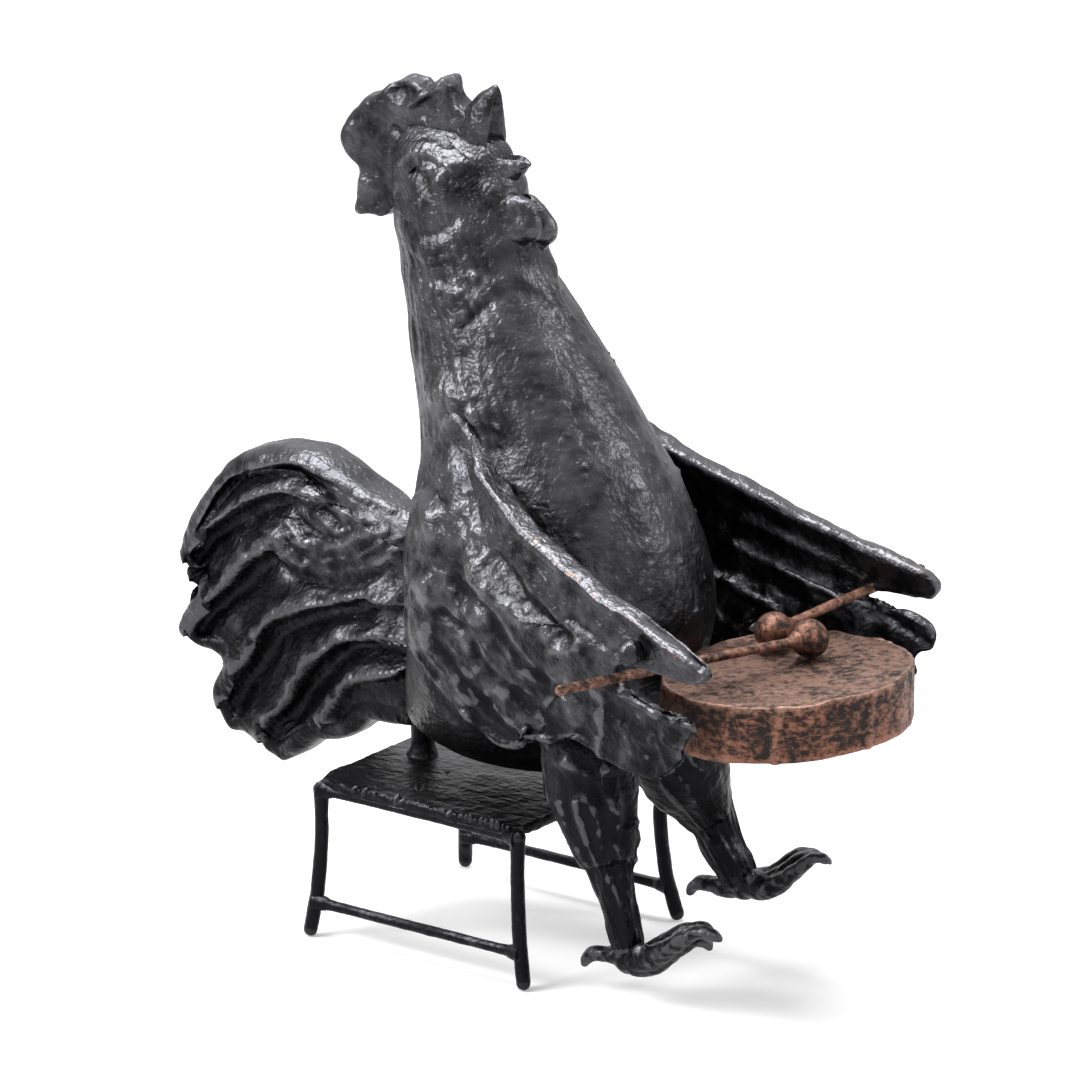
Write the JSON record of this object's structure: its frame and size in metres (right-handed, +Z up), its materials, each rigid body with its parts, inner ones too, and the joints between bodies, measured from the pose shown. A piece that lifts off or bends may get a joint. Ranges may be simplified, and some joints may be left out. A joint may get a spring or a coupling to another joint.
{
  "type": "drumming rooster figurine",
  "caption": "Blackened cast bronze rooster on a low bench, crowing with its head thrown back and playing a round copper-coloured drum with mallets held in its wings.",
  "frame": {"origin": "on the floor plane, below the middle of the figurine's bounding box", "axes": "+X from the tail towards the drum, the way the rooster faces; +Y towards the rooster's left; +Z up"},
  "size_m": [0.149, 0.089, 0.1521],
  "materials": {
    "blackened_bronze": "black patina, satin, rubbed back to copper on its highest edges",
    "rubbed_copper": "antique copper, satin, speckled with black in its pits"
  },
  "bodies": {
    "root": {"body": "blackened_bronze", "head": "blackened_bronze", "comb": "blackened_bronze", "upper_beak": "blackened_bronze", "lower_beak": "blackened_bronze", "wattle_right": "blackened_bronze", "wattle_left": "blackened_bronze", "tail": "blackened_bronze", "wing_right": "blackened_bronze", "thumb_right": "blackened_bronze", "leg_right": "blackened_bronze", "foot_right": "blackened_bronze", "mallet_stick_right": "rubbed_copper", "mallet_head_right": "rubbed_copper", "wing_left": "blackened_bronze", "thumb_left": "blackened_bronze", "leg_left": "blackened_bronze", "foot_left": "blackened_bronze", "mallet_stick_left": "rubbed_copper", "mallet_head_left": "rubbed_copper", "drum": "rubbed_copper", "seat_post_rear": "blackened_bronze", "seat_post_front": "blackened_bronze", "bench_leg_front_right": "blackened_bronze", "bench_leg_front_left": "blackened_bronze", "bench_leg_rear_right": "blackened_bronze", "bench_leg_rear_left": "blackened_bronze", "seat_plate": "blackened_bronze", "seat_rail_right": "blackened_bronze", "stretcher_right": "blackened_bronze", "seat_rail_left": "blackened_bronze", "stretcher_left": "blackened_bronze"}
  },
  "joints": []
}
